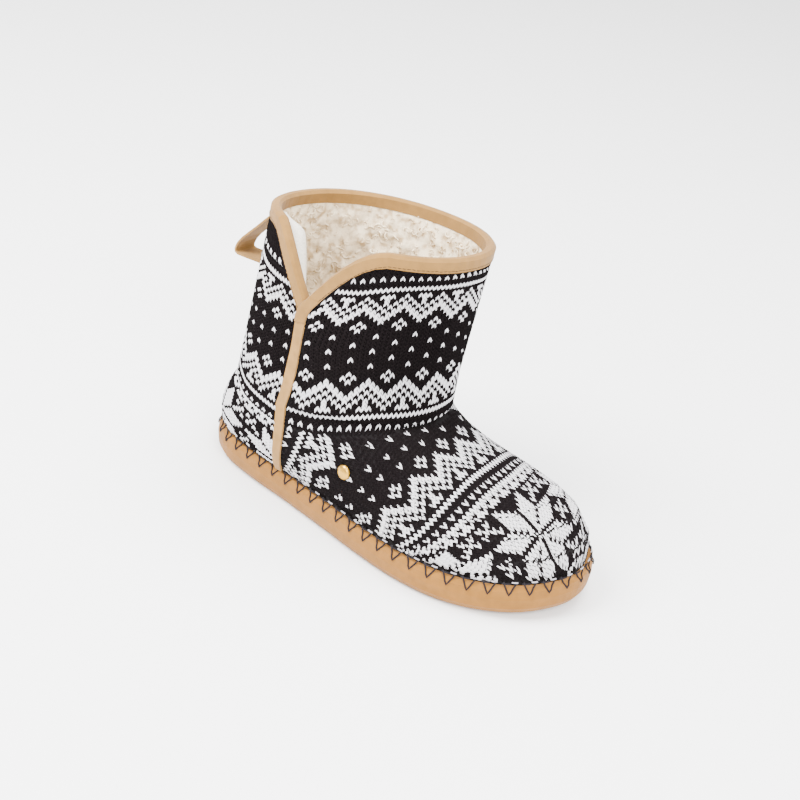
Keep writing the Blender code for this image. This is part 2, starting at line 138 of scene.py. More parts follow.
# Middle of the side strip, and of the notch above it: height, x in mm
STRIP_LINE = ((0.0, -52.5), (19.0, -51.0), (124.0, -43.0), (180.0, -43.0))
# Ankle seam: x, height in mm
ANKLE_SEAM = ((-80.0, 41.0), (-40.5, 54.3), (4.7, 68.2), (20.0, 75.0), (40.0, 80.0))
# Gaps between the knit and the trims, and between the ankle seam and the stitches below and above it
TRIM_GAP = 0.0011
SEAM_GAPS = (0.0003, 0.0008)
WIDEST_STITCH = 0.006

# Binding's end over the strip: x and z of its left and right edges in mm, from the bottom up
MITRE = (
    (-47.2, 121.6, -39.4, 123.2),
    (-47.0, 126.2, -38.6, 127.4),
    (-45.7, 130.6, -36.7, 131.7),
    (-43.0, 135.4, -34.1, 135.2),
    (-39.2, 138.9, -31.0, 139.2),
)
MITRE_THICKNESS = 0.0009
MITRE_BEVEL = 0.00025
# y of the outer wall beside the strip
WALL_Y = -0.0465

# One stitch: row and column from its middle, width of the strand, lift of the strand
STITCH = (
    (-0.80, -0.50, 0.40, -0.10),
    (-0.16, -0.31, 1.00, 0.55),
    (0.56, 0.00, 0.95, 0.32),
    (-0.16, 0.31, 1.00, 0.55),
    (-0.80, 0.50, 0.40, -0.10),
)
# Section of the strand: across, out
STRAND = ((-1.0, -0.55), (-0.74, 0.42), (0.0, 0.88), (0.74, 0.42), (1.0, -0.55))
# Height of a strand of no width, as a share of a full one
FLAT_SHARE = 0.35

SOLE_LENGTH = 0.262
SOLE_WIDEST = 0.0114
TOE_SPRING = 0.004
SPRING_START = 0.80
# Height up to which the whip stitches lie against the sole's side
SOLE_SIDE_TOP = 0.0186

# Whip stitch: mm along from its middle, inset and height in mm
WHIP = (
    (-3.7, 2.5, 22.0), (-3.0, 1.9, 20.2), (-2.1, 0.8, 18.4), (-1.0, -0.2, 16.6),
    (0.0, -0.42, 14.8), (1.0, -0.2, 16.6), (2.1, 0.8, 18.4), (3.0, 1.9, 20.2),
    (3.7, 2.5, 22.0),
)
# Running stitches: inset of five points in mm; name, start, end and height in mm, colour
RUNNING_INSET = (2.3, 2.15, 2.09, 2.15, 2.3)
RUNNING = (("feather_stitches", -4.7, 0.4, 20.9, "thread"), ("pale_stitches", 0.9, 4.4, 21.9, "pale"))
# Binding's edge stitch: height over its lower edge, radius of its thread, radius of the collar
EDGE_INSET = 0.0010
EDGE_THREAD = 0.00017
COLLAR_RADIUS = 0.06

# Shaft: height of its foot, x of its middle there
SHAFT_FOOT = 0.066
SHAFT_X = -0.0465
# Heights between which the collar's binding lies
COLLAR_SPAN = (0.118, 0.182)

# Lining: height of its foot, how far it laps the binding, size and depth of its lumps
LINING_FOOT = 0.0248
LINING_LAP = 0.0012
LINING_LUMPS = (0.007, 0.0032)
# Footbed: height of the rays to the wall, inset from it, x of its front, height of its ground, lumps
BED_LEVEL = 0.0262
BED_INSET = 0.001
BED_FRONT_X = 0.103
BED_GROUND = 0.0243
BED_LUMPS = (0.008, 0.002)
# Lining's turned-in edge: turns around the shaft in degrees, radius of the shaft there
FOLD_TURNS = (-97.0, -152.0)
FOLD_RADIUS = 0.046
# Curls of the pile
PILE_INPUTS = (
    ("Density", "NodeSocketFloat", 60000.0),
    ("Curl radius", "NodeSocketFloat", 0.0018),
    ("Strand radius", "NodeSocketFloat", 0.0005),
    ("Seed", "NodeSocketInt", 7),
)

# Lights: name, place, share of the key light's power
LIGHTS = (
    ("key", (-0.55, -0.75, 1.25), 1.0),
    ("fill", (0.95, -0.65, 0.85), 0.55),
    ("top", (0.05, 0.35, 1.4), 0.5),
)
LIGHT_WIDTH = 0.9
STUDIO_STRENGTH = 2.1
# Camera: azimuth, elevation and roll in degrees
CAMERA_TURNS = (37.4, 28.0, 8.7)
CAMERA_DISTANCE = 0.892
CAMERA_LENS = 70.6
CAMERA_TARGET = (0.0028, -0.0056, 0.0812)


def table(rows, column, at):
    """Value of a table's column at a place in its first column."""
    keys = np.array([row[0] for row in rows], float)
    values = np.array([row[column] for row in rows], float)
    return np.interp(at, keys, values)


def give(node, values):
    """Values for a node's inputs."""
    for key, value in values.items():
        node.inputs[key].default_value = value
    return node


def new_material(name, colour, roughness, metallic=0.0, sheen=0.0, gloss=0.15):
    item = bpy.data.materials.new(name)
    item.use_nodes = True
    give(item.node_tree.nodes["Principled BSDF"], {
        "Base Color": (*colour[:3], 1.0), "Roughness": roughness, "Metallic": metallic,
        "Sheen Weight": sheen, "Sheen Roughness": 0.5, "Specular IOR Level": gloss})
    return item


def noise(item, scale, detail=3.0):
    """Noise over the object's own coordinates."""
    tree = item.node_tree
    place = tree.nodes.new("ShaderNodeTexCoord")
    texture = give(tree.nodes.new("ShaderNodeTexNoise"), {"Scale": scale, "Detail": detail})
    tree.links.new(place.outputs["Object"], texture.inputs["Vector"])
    return texture.outputs["Fac"]


def mottle(item, dark, light, scale, low=0.35, high=0.65):
    """Base colour that wanders between a darker and a lighter tone."""
    tree = item.node_tree
    ramp = tree.nodes.new("ShaderNodeValToRGB")
    for stop, place, tone in zip(ramp.color_ramp.elements, (low, high), (dark, light)):
        stop.position = place
        stop.color = (*tone[:3], 1.0)
    tree.links.new(noise(item, scale), ramp.inputs["Fac"])
    tree.links.new(ramp.outputs["Color"], tree.nodes["Principled BSDF"].inputs["Base Color"])


def roughen(item, scale, depth, strength=0.6, detail=3.0):
    tree = item.node_tree
    bump = give(tree.nodes.new("ShaderNodeBump"), {"Strength": strength, "Distance": depth})
    tree.links.new(noise(item, scale, detail), bump.inputs["Height"])
    tree.links.new(bump.outputs["Normal"], tree.nodes["Principled BSDF"].inputs["Normal"])


def tones(colour, spread):
    """A darker and a lighter tone of a colour."""
    return [[min(1.0, channel * (1.0 + sign * spread)) for channel in colour[:3]] for sign in (-1, 1)]


def suede(name, colour, spread=0.14):
    item = new_material(name, colour, 0.95, sheen=0.08)
    mottle(item, *tones(colour, spread), 160.0, 0.3, 0.7)
    roughen(item, 2600.0, 0.0003, 0.5, 5.0)
    return item


def yarn(name, colour, spread):
    item = new_material(name, colour, 0.95, gloss=0.03)
    mottle(item, *tones(colour, spread), 900.0, 0.3, 0.7)
    roughen(item, 3200.0, 0.0003, 0.5, 4.0)
    return item


def corners_of(name):
    return np.array([v.co[:] for v in NODES[name].data.vertices])


def surface(name):
    """Surface of one of the frame's nodes, for rays and distances."""
    mesh = NODES[name].data
    return BVHTree.FromPolygons([v.co[:] for v in mesh.vertices], [p.vertices[:] for p in mesh.polygons])


def outermost(tree, centre, direction, reach=0.25):
    """Outermost point of a surface on a ray from a centre."""
    direction = Vector(direction).normalized()
    hit = tree.ray_cast(Vector(centre) + direction * reach, -direction, reach)[0]
    return None if hit is None else np.array(hit)


def unit(vectors):
    return vectors / np.maximum(np.linalg.norm(vectors, axis=-1), 1e-12)[..., None]


def arc_lengths(points):
    return np.r_[0.0, np.cumsum(np.linalg.norm(np.diff(points, axis=0), axis=1))]


def points_at(at, lengths, line, beyond=None):
    """Values of a line at given lengths along it; beyond its ends the end values, or another."""
    return np.stack([np.interp(at, lengths, column, left=beyond, right=beyond) for column in line.T],
                    axis=-1)


def resample(at, lengths, ring, gap=7.0):
    """Points of a ring at given lengths along it in mm, not a number outside it and across gaps."""
    row = points_at(at, lengths, ring, np.nan)
    for index in np.flatnonzero(np.diff(lengths) > gap):
        row[(at > lengths[index]) & (at < lengths[index + 1])] = np.nan
    return row


class Net:
    """Points of a surface over two lengths in mm, with outward normals."""

    def __init__(self, first, second, points, outwards):
        self.first = first
        self.second = second
        filled = points.copy()
        for line in filled:
            known = ~np.isnan(line[:, 0])
            if known.sum() > 1:
                line[:] = points_at(second, second[known], line[known])
        self.points = points
        self.normals = unit(np.cross(*np.gradient(filled, axis=(0, 1))) * outwards)

    def at(self, a, b):
        """Point and normal at two lengths; outside the net the point is not a number."""
        keys = (self.first, self.second)
        spots = [np.interp(at, key, np.arange(len(key)), left=np.nan, right=np.nan)
                 for at, key in zip((a, b), keys)]
        lost = np.isnan(spots[0]) | np.isnan(spots[1])
        spots = [np.where(lost, 0.0, spot) for spot in spots]
        i, j = [np.minimum(spot.astype(int), len(key) - 2) for spot, key in zip(spots, keys)]
        u, v = [(spot - low)[..., None] for spot, low in zip(spots, (i, j))]
        point, normal = [(grid[i, j] * (1 - v) + grid[i, j + 1] * v) * (1 - u)
                         + (grid[i + 1, j] * (1 - v) + grid[i + 1, j + 1] * v) * u
                         for grid in (self.points, self.normals)]
        return np.where(lost[..., None], np.nan, point), unit(normal)


def seam_height(x):
    return table(ANKLE_SEAM, 1, x / MM) * MM


def strip_x(z):
    return table(STRIP_LINE, 1, z / MM) * MM


def foot_middle(x):
    """Sideways place of the foot's middle, which swings to the inner side towards the toe."""
    return TOE_SWING * np.clip(x / (SOLE_LENGTH / 2), 0, 1)


def foot_net(tree):
    """Net over the foot: mm along the ridge, mm across from it, the outer side negative."""
    xs = np.r_[np.linspace(*FOOT_NET_SPAN, 150),
               FOOT_NET_END - FOOT_NET_DENSE * np.linspace(1, 0, 26)[1:] ** 1.6]
    tilts = np.radians(np.linspace(-114, 114, 153))
    across = np.arange(-100.0, 100.5, 1.0)
    rings = []
    for x in xs:
        centre = (x, foot_middle(x), 0.024 if x > 0.1 else 0.030)
        hits = [outermost(tree, centre, (0.0, sin(tilt), cos(tilt))) for tilt in tilts]
        ring = np.array([hit for hit in hits if hit is not None])
        rings.append(ring[ring[:, 2] > FOOT_LOWEST])
    first = int(np.argmax(xs > FOOT_OPEN_X))
    ridge = np.array([ring[ring[:, 2].argmax()] for ring in rings])
    ridge_y = ridge[:, 1].copy()
    ridge_y[first:] = np.convolve(np.pad(ridge[first:, 1], 7, mode="edge"), np.ones(15) / 15, "valid")
    step = np.hypot(np.diff(ridge[:, 0]), np.diff(ridge[:, 2]))
    step[:first] = np.diff(xs)[:first] / cos(radians(OPENING_SLOPE))
    along = np.r_[0.0, np.cumsum(step)] / MM
    along -= np.interp(RIDGE_START_X, xs, along)
    points = np.full((len(xs), len(across), 3), np.nan)
    tie = {}
    for index in list(range(first, len(xs))) + list(range(first - 1, -1, -1)):
        ring = rings[index]
        lengths = arc_lengths(ring) / MM
        top = ring[:, 2].argmax()
        if index >= first:
            near = slice(max(top - 25, 0), top + 25)
            lengths = lengths - np.interp(ridge_y[index], ring[near, 1], lengths[near])
            parts = [(ring, lengths)]
            if index == first:
                tie[-1] = np.interp(FOOT_LEVEL, ring[:top, 2], lengths[:top])
                tie[1] = np.interp(-FOOT_LEVEL, -ring[top:, 2], lengths[top:])
        else:
            parts = []
            limit = seam_height(xs[index]) + 0.006
            for side in (-1, 1):
                below = (np.sign(ring[:, 1] - foot_middle(xs[index])) == side) & (ring[:, 2] < limit)
                order = np.arange(len(ring))[::-side]
                reach = order[np.cumprod(below[order]).astype(bool)]
                if len(reach) > 3:
                    level = np.interp(FOOT_LEVEL, ring[reach, 2], lengths[reach])
                    reach = np.sort(reach)
                    parts.append((ring[reach], lengths[reach] - level + tie[side]))
        for part, run in parts:
            row = resample(across, run, part, 30.0)
            points[index] = np.where(np.isnan(row), points[index], row)
    return Net(along, across, points, -1.0)


def shaft_middle(z):
    """Middle that the shaft's rays leave from, at a height."""
    rise = np.clip((z - SHAFT_FOOT) / 0.104, 0.0, 1.2)
    back = np.clip((SHAFT_FOOT - z) / 0.016, 0.0, 1.0)
    return np.array([SHAFT_X + 0.0065 * rise - 0.0155 * back, 0.0105 * rise, z])


def level_ray(turn):
    return Vector((cos(turn), sin(turn), 0.0))


def from_inside(tree, z, turn):
    """Point and normal where a level ray from the shaft's middle meets a surface."""
    return tree.ray_cast(Vector(shaft_middle(z)), level_ray(turn), 0.3)[:2]


def from_outside(tree, z, turn):
    """Point and normal where a level ray towards the shaft's middle meets a surface."""
    ray = level_ray(turn)
    return tree.ray_cast(Vector(shaft_middle(z)) + ray * 0.2, -ray, 0.2)[:2]


def wall_net(tree, heights, around, rays, below, outwards):
    """Net over the wall, down to a length below the ankle seam: mm up, mm around. For a height, rays
    gives their middle, their turns and a mark for each; lengths around count from the mark 0."""
    points = np.full((len(heights), len(around), 3), np.nan)
    for index, z in enumerate(heights):
        middle, turns, marks = rays(z)
        hits = [outermost(tree, middle, level_ray(turn)) for turn in turns]
        found = [(hit, mark) for hit, mark in zip(hits, marks)
                 if hit is not None and hit[2] > seam_height(hit[0]) - below]
        if len(found) >= 8:
            ring, marks = [np.array(part) for part in zip(*found)]
            lengths = arc_lengths(ring) / MM
            points[index] = resample(around, lengths - np.interp(0.0, marks, lengths), ring)
    return Net(heights / MM, around, points, outwards)


def shaft_net(tree):
    """Net over the front of the shaft: mm up, mm around from the outer side towards the front."""
    turns = np.radians(np.arange(-165.0, 105.0, 1.5))

    def rays(z):
        return (*shaft_middle(max(z, SHAFT_FOOT))[:2], z), turns, turns + pi / 2

    heights = np.arange(0.050, 0.1865, 0.0015)
    return wall_net(tree, heights, np.arange(-30.0, 230.0, 1.0), rays, 0.006, -1.0)


def strip_angles():
    """Angle around the shaft's middle at which the side strip lies, over height."""
    corners = corners_of("side_strip")
    heights = np.linspace(corners[:, 2].min() + 0.003, corners[:, 2].max() - 0.004, 24)
    places = np.array([corners[np.abs(corners[:, 2] - z) < 0.006].mean(axis=0) - shaft_middle(z)
                       for z in heights])
    return heights, np.arctan2(places[:, 1], places[:, 0])


def back_net(tree):
    """Net over the back panel: mm up, mm around from the side strip towards the heel."""
    strip = strip_angles()
    swings = np.radians(np.arange(0.0, 210.0, 1.5)) - radians(8)

    def rays(z):
        return shaft_middle(z), np.interp(z, *strip) - swings, swings

    heights = np.arange(0.0195, 0.1865, 0.0015)
    return wall_net(tree, heights, np.arange(-6.0, 230.0, 1.0), rays, np.inf, 1.0)


def cells(marks, along, across):
    """True in the cells that a list names."""
    return np.any([(along == mark[0]) & (across == mark[1]) for mark in marks], axis=0)


def white_stitches(row, column, dot_shift, last_row):
    """True where the chart has a white stitch. The dot rows of the foot and the shaft start on
    different columns, which dot_shift says. Rows past the last one are black."""
    charted = row <= last_row
    row = np.mod(row, REPEAT_ROWS)
    edge = np.minimum(row, STAR_BAND_ROWS - row)
    dots = np.mod(column + dot_shift, 2) == 0
    half = STAR_REPEAT // 2
    across = np.abs(np.mod(column + half, STAR_REPEAT) - half)
    along = np.abs(row - STAR_CENTRE_ROW)

    def petal(p, q):
        return (q >= 1) & (q <= np.minimum(4, p - 1)) & (q >= p - 5) & (p <= 9)

    star = petal(along, across) | petal(across, along) | cells(STAR_CELLS, along, across)
    banded = (edge == 0) | (edge == 5) | ((edge == 3) | (edge == 6)) & dots
    banded |= (edge == 7) & (np.mod(column + dot_shift, 4) != 0) | (edge >= 9) & star
    deep = REPEAT_ROWS - row
    deep = np.minimum(deep, -LOWER_LINE_ROW - deep)
    half = CHEVRON_REPEAT // 2
    off = np.abs(np.mod(column + 1 + half, CHEVRON_REPEAT) - half)
    chevron = np.isin(deep - half + off, CHEVRON_LINES) | cells(CHEVRON_CELLS, deep, off)
    return charted & np.where(row <= STAR_BAND_ROWS, banded, chevron)


def foot_place(row, column):
    """Lengths on the foot's net of a place in the chart."""
    out = -np.asarray(column, float)
    outer, inner = [gauge * out + growth * out ** 2 for gauge, growth in (OUTER_GAUGE, INNER_GAUGE)]
    width = np.where(out >= 0, outer, inner)
    across = FOOT_AXIS - width + table(FOOT_DRIFT, 1, row) * np.clip(out / DRIFT_COLUMNS, 0, 1)
    aside = across - FOOT_BEND_MIDDLE
    inner = FOOT_BEND_REACH ** 3 * (1 - np.exp(-np.maximum(aside, 0) ** 3 / FOOT_BEND_REACH ** 3))
    back = table(FOOT_ROWS, 2, row) * np.where(aside > 0, inner, np.abs(aside) ** 3)
    return table(FOOT_ROWS, 1, row) - back, across


def shaft_height(row, around, lines, above, below):
    """Height of a row between, above or below the two white lines."""
    upper, lower = [table(lines, line, around) for line in (1, 2)]
    height = upper + table(SHAFT_ROWS, 1, row) * (lower - upper)
    height = np.where(row > 0, upper + above * row, height)
    return np.where(row < LOWER_LINE_ROW, lower - below, height)


def front_place(row, column):
    """Lengths on the net of the shaft's front of a place in the chart."""
    count = len(FRONT_COLUMN_ROWS)
    marks = np.stack([table(FRONT_COLUMNS, index + 1, column) for index in range(count)])
    share = np.interp(row, FRONT_COLUMN_ROWS[::-1], range(count)[::-1])
    low = np.minimum(share.astype(int), count - 2)
    part = share - low
    near, far = [np.take_along_axis(marks, low[None] + step, 0)[0] for step in (0, 1)]
    around = near * (1 - part) + far * part
    below = FRONT_BELOW * (LOWER_LINE_ROW - row)
    return shaft_height(row, around, FRONT_LINES, table(FRONT_ABOVE, 1, around), below), around


def back_place(row, column):
    """Lengths on the back panel's net of a place in the chart."""
    around = table(BACK_COLUMNS, 1, row) + (column - BACK_FIRST_COLUMN) * table(BACK_COLUMNS, 2, row)
    return shaft_height(row, around, BACK_LINES, BACK_ABOVE, table(BACK_FOOT, 1, row)), around


def add(name, data):
    item = bpy.data.objects.new(name, data)
    bpy.context.scene.collection.objects.link(item)
    return item


def link(mesh, material, slot=None):
    """Object of a mesh, under the mesh's name."""
    mesh.materials.clear()
    mesh.materials.append(material)
    item = add(mesh.name, mesh)
    if slot is not None:
        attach(item, "root")
    return item


def mesh_of(name, vertices, faces):
    """Smooth mesh from arrays: faces is a list of arrays, each of faces with as many corners."""
    mesh = bpy.data.meshes.new(name)
    mesh.vertices.add(len(vertices))
    mesh.vertices.foreach_set("co", np.asarray(vertices, np.float32).ravel())
    corners = np.concatenate([face.ravel() for face in faces])
    totals = np.concatenate([np.full(len(face), face.shape[1]) for face in faces])
    mesh.loops.add(len(corners))
    mesh.loops.foreach_set("vertex_index", corners.astype(np.int32))
    mesh.polygons.add(len(totals))
    starts = np.r_[0, np.cumsum(totals)[:-1]]
    mesh.polygons.foreach_set("loop_start", starts.astype(np.int32))
    mesh.polygons.foreach_set("use_smooth", np.ones(len(totals), bool))
    mesh.update(calc_edges=True)
    mesh.validate()
    return mesh


def strands(name, path, normals, across, out, lift):
    """Joined closed strands. The path and normals are strand by section by axis; across, out and
    lift are strand by section, in metres."""
    side = unit(np.cross(normals, np.gradient(path, axis=1)))
    section = np.array(STRAND)
    centre = path + normals * lift[..., None]
    vertices = centre[:, :, None] + side[:, :, None] * (across[..., None] * section[:, 0])[..., None]
    vertices = vertices + normals[:, :, None] * (out[..., None] * section[:, 1])[..., None]
    count, sections, corners = vertices.shape[:3]
    base = (np.arange(count) * sections * corners)[:, None, None]
    ends = np.array([range(corners)[::-1], range((sections - 1) * corners, sections * corners)])
    quads = grid_faces(sections, corners, True)
    faces = [(base + part).reshape(-1, part.shape[1]) for part in (quads, ends)]
    return mesh_of(name, vertices.reshape(-1, 3), faces)


def covered(points, trees, gap):
    """True where a point is nearer than a gap to one of the surfaces."""
    return np.array([any(tree.find_nearest(Vector(point), gap)[0] is not None for tree in trees)
                     for point in points], bool)


def knit(name, net, place, rows, columns, keep, colours, dot_shift, last_row):
    """Stitches of one panel, as a black piece and a white one."""
    chart = np.mgrid[rows[0]:rows[1] + 1, columns[0]:columns[1] + 1]
    row, column = chart.reshape(2, -1).astype(float)
    middle = net.at(*place(row, column))[0]
    chosen = ~np.isnan(middle[:, 0])
    chosen[chosen] = keep(middle[chosen])
    row, column = row[chosen], column[chosen]
    shape = np.array(STITCH)
    spots = [net.at(*place(row + step[0], column + step[1])) for step in shape]
    path, normals = [np.stack(part, axis=1) for part in zip(*spots)]
    wide = net.at(*place(row, column + 0.5))[0] - net.at(*place(row, column - 0.5))[0]
    width = np.linalg.norm(wide, axis=1)
    whole = ~np.isnan(path).any(axis=(1, 2)) & ~np.isnan(width) & (width < WIDEST_STITCH)
    row, column, path, normals, width = [part[whole] for part in (row, column, path, normals, width)]
    white = white_stitches(row, column, dot_shift, last_row)
    props = bpy.context.scene.slipper_knit
    across = width[:, None] * props.strand_share * shape[None, :, 2]
    out = props.strand_height * (FLAT_SHARE + (1 - FLAT_SHARE) * shape[None, :, 2]) * np.ones_like(across)
    lift = props.strand_height * shape[None, :, 3] * np.ones_like(across)
    for shade, choice, material, grow in (("black", ~white, colours[0], 1.0),
                                          ("white", white, colours[1], props.white_growth)):
        mesh = strands(name + "_" + shade, path[choice], normals[choice], across[choice] * grow,
                       out[choice] * grow, lift[choice])
        link(mesh, material, "knit")


def toe_rise(x):
    """Height by which the sole lifts at the toe."""
    share = np.clip((x / SOLE_LENGTH + 0.5 - SPRING_START) / (1.0 - SPRING_START), 0.0, 1.0)
    return TOE_SPRING * share ** 2


class SoleEdge:
    """Outline of the sole where it is widest, in plan, with outward directions, from the heel."""

    def __init__(self):
        corners = corners_of("outsole")
        level = corners[:, 2] - toe_rise(corners[:, 0])
        ring = np.unique(corners[np.abs(level - SOLE_WIDEST) < 2e-4][:, :2].round(6), axis=0)
        ring = ring[np.argsort(np.arctan2(ring[:, 1], ring[:, 0]))]
        ring = np.vstack([ring, ring[:1]])
        lengths = arc_lengths(ring)
        self.length = lengths[-1]
        self.at = np.linspace(0.0, self.length, 1201)
        self.plan = points_at(self.at, lengths, ring)
        forward = unit(np.roll(self.plan[:-1], -6, 0) - np.roll(self.plan[:-1], 6, 0))
        forward = np.vstack([forward, forward[:1]])
        self.out = np.stack([forward[:, 1], -forward[:, 0]], axis=-1)

    def place(self, along, inset, height):
        """Points along the outline at an inset and a height, with outward directions."""
        along = np.mod(along, self.length)
        plan, out = [points_at(along, self.at, line) for line in (self.plan, self.out)]
        plan = plan - out * inset[..., None]
        return np.concatenate([plan, (height + toe_rise(plan[..., 0]))[..., None]], axis=-1), out


def settle(path, out, lift):
    """Moves the points of a path that lie beside the sole onto its side."""
    tree = surface("outsole")
    for place in np.ndindex(path.shape[:2]):
        if path[place][2] - toe_rise(path[place][0]) < SOLE_SIDE_TOP:
            away = Vector((*out[place], 0.0))
            hit = tree.ray_cast(Vector(path[place]) + away * 0.01, -away, 0.02)[0]
            if hit is not None:
                path[place] = hit + away * lift


def collar_edges(turns):
    """For each angle around the shaft: the lower edge of the binding on the outside and the inside,
    as heights."""
    tree = surface("collar_binding")
    heights = np.arange(*COLLAR_SPAN, 0.0004)
    return np.array([[next(z for z in heights if meets(tree, z, turn)[0] is not None)
                      for meets in (from_outside, from_inside)] for turn in turns])


def pile_tree(material):
    """Nodes that scatter curls over a surface, as many as its pile attribute asks for."""
    tree = bpy.data.node_groups.new("curly pile", "GeometryNodeTree")
    face = tree.interface
    face.new_socket("Geometry", in_out="INPUT", socket_type="NodeSocketGeometry")
    sockets = {}
    for name, kind, value in PILE_INPUTS:
        socket = face.new_socket(name, in_out="INPUT", socket_type=kind)
        socket.default_value = value
        sockets[name] = socket.identifier
    face.new_socket("Geometry", in_out="OUTPUT", socket_type="NodeSocketGeometry")

    def make(kind, values=None, **settings):
        """Node of a kind, with its settings and the values of its inputs."""
        node = tree.nodes.new(kind)
        for key, value in settings.items():
            setattr(node, key, value)
        return give(node, values or {})

    given = make("NodeGroupInput")
    result = make("NodeGroupOutput")
    share = make("GeometryNodeInputNamedAttribute", {"Name": "pile"}, data_type="FLOAT")
    density = make("ShaderNodeMath", operation="MULTIPLY")
    points = make("GeometryNodeDistributePointsOnFaces")
    arc = make("GeometryNodeCurveArc", {"Resolution": 7, "Sweep Angle": radians(285)})
    circle = make("GeometryNodeCurvePrimitiveCircle", {"Resolution": 5})
    curl = make("GeometryNodeCurveToMesh", {"Fill Caps": True})
    turn = make("FunctionNodeRandomValue", {0: (-0.9, -0.9, 0.0), 1: (0.9, 0.9, 2 * pi), "Seed": 11},
                data_type="FLOAT_VECTOR")
    spread = make("FunctionNodeRandomValue", {2: 0.65, 3: 1.25, "Seed": 12}, data_type="FLOAT")
    place = make("GeometryNodeInstanceOnPoints")
    rotate = make("GeometryNodeRotateInstances")
    realize = make("GeometryNodeRealizeInstances")
    smooth = make("GeometryNodeSetShadeSmooth")
    paint = make("GeometryNodeSetMaterial", {"Material": material})
    for source, output, target, entry in (
            (given, "Density", density, 0), (share, "Attribute", density, 1),
            (given, "Geometry", points, "Mesh"), (density, 0, points, "Density"),
            (given, "Seed", points, "Seed"), (given, "Curl radius", arc, "Radius"),
            (given, "Strand radius", circle, "Radius"), (arc, "Curve", curl, "Curve"),
            (circle, "Curve", curl, "Profile Curve"), (points, "Points", place, "Points"),
            (points, "Rotation", place, "Rotation"), (curl, "Mesh", place, "Instance"),
            (spread, 1, place, "Scale"), (place, "Instances", rotate, "Instances"),
            (turn, 0, rotate, "Rotation"), (rotate, "Instances", realize, "Geometry"),
            (realize, "Geometry", smooth, "Geometry"), (smooth, "Geometry", paint, "Geometry"),
            (paint, "Geometry", result, "Geometry")):
        tree.links.new(source.outputs[output], target.inputs[entry])
    return tree, sockets


def grow_pile(name, grid, closed, share, material, seed):
    """Curls over a grid, as a plain mesh of their own, as dense as the share of each point says."""
    faces = grid_faces(*grid.shape[:2], closed)[:, ::-1]
    sheet = mesh_of(name + " ground", grid.reshape(-1, 3), [faces])
    layer = sheet.attributes.new("pile", "FLOAT", "POINT")
    layer.data.foreach_set("value", np.asarray(share, np.float32))
    tree, sockets = pile_tree(material)
    carrier = add("carrier", sheet)
    modifier = carrier.modifiers.new("pile", "NODES")
    modifier.node_group = tree
    modifier[sockets["Density"]] = bpy.context.scene.slipper_fleece.density
    modifier[sockets["Seed"]] = seed
    bpy.context.view_layer.update()
    graph = bpy.context.evaluated_depsgraph_get()
    mesh = bpy.data.meshes.new_from_object(carrier.evaluated_get(graph), depsgraph=graph)
    bpy.data.objects.remove(carrier, do_unlink=True)
    mesh.name = name
    return link(mesh, material, "fleece")


def lumps(points, size, depth):
    """Soft lumps: a height in metres for each point."""
    return np.array([turbulence(Vector(point) / size, 3, False) for point in points]) * depth


def grid_faces(rows, columns, closed):
    """Quads over a grid of rows by columns, its columns closed into a ring or not."""
    r, c = np.mgrid[:rows - 1, :columns if closed else columns - 1].reshape(2, -1)
    d = (c + 1) % columns
    return np.stack([r * columns + c, r * columns + d, (r + 1) * columns + d, (r + 1) * columns + c], axis=1)


def thin_piece(name, front, back, material, slot, closed=False):
    """Thin closed piece between two grids, their columns closed into a ring or not. Its front faces to
    where the rows' direction crossed with the columns' points."""
    rows, columns = front.shape[:2]
    size = rows * columns
    sheet = grid_faces(rows, columns, closed)
    ring = np.arange(columns)
    if closed:
        after = (ring + 1) % columns
        rims = [(size - columns + after, size - columns + ring), (ring, after)]
    else:
        rim = np.r_[ring, np.arange(1, rows) * columns + columns - 1, size - columns + ring[-2::-1],
                    np.arange(1, rows - 1)[::-1] * columns]
        rims = [(rim, np.roll(rim, -1))]
    faces = [sheet[:, ::-1], size + sheet]
    faces += [np.stack([here, there, size + there, size + here], axis=1) for here, there in rims]
    vertices = np.vstack([front.reshape(-1, 3), back.reshape(-1, 3)])
    return link(mesh_of(name, vertices, faces), material, slot)


def colour_property(name, description, default):
    return bpy.props.FloatVectorProperty(name=name, description=description, subtype="COLOR", size=3,
                                         min=0.0, max=1.0, default=default)


def length_property(name, description, default, low, high):
    return bpy.props.FloatProperty(name=name, description=description, default=default, min=low,
                                   max=high, unit="LENGTH")


class SlipperKnit(bpy.types.PropertyGroup):
    black: colour_property("Black yarn", "Colour of the ground yarn", (0.0048, 0.0036, 0.0038))
    white: colour_property("White yarn", "Colour of the pattern yarn", (0.60, 0.585, 0.60))
    strand_share: bpy.props.FloatProperty(
        name="Strand width", description="Half width of a strand as a share of its stitch", default=0.232,
        min=0.1, max=0.4, subtype="FACTOR")
    strand_height: length_property("Strand height", "Height of a strand over the fabric", 0.0008,
                                   0.0001, 0.002)
    white_growth: bpy.props.FloatProperty(
        name="White growth", description="Size of white strands against black ones", default=1.0,
        min=0.8, max=1.4, subtype="FACTOR")


class SlipperSuede(bpy.types.PropertyGroup):
    sole: colour_property("Sole", "Colour of the sole's suede", (0.20, 0.086, 0.0145))
    trim: colour_property("Binding", "Colour of the collar's binding", (0.205, 0.106, 0.027))
    strip: colour_property("Strip and loop", "Colour of the side strip and the pull loop",
                           (0.245, 0.130, 0.036))
    thread: colour_property("Thread", "Colour of the sewing thread", (0.010, 0.008, 0.010))
    pale: colour_property("Pale thread", "Colour of the paler thread", (0.30, 0.28, 0.30))
    stud: colour_property("Stud", "Colour of the stud's metal", (0.52, 0.285, 0.04))


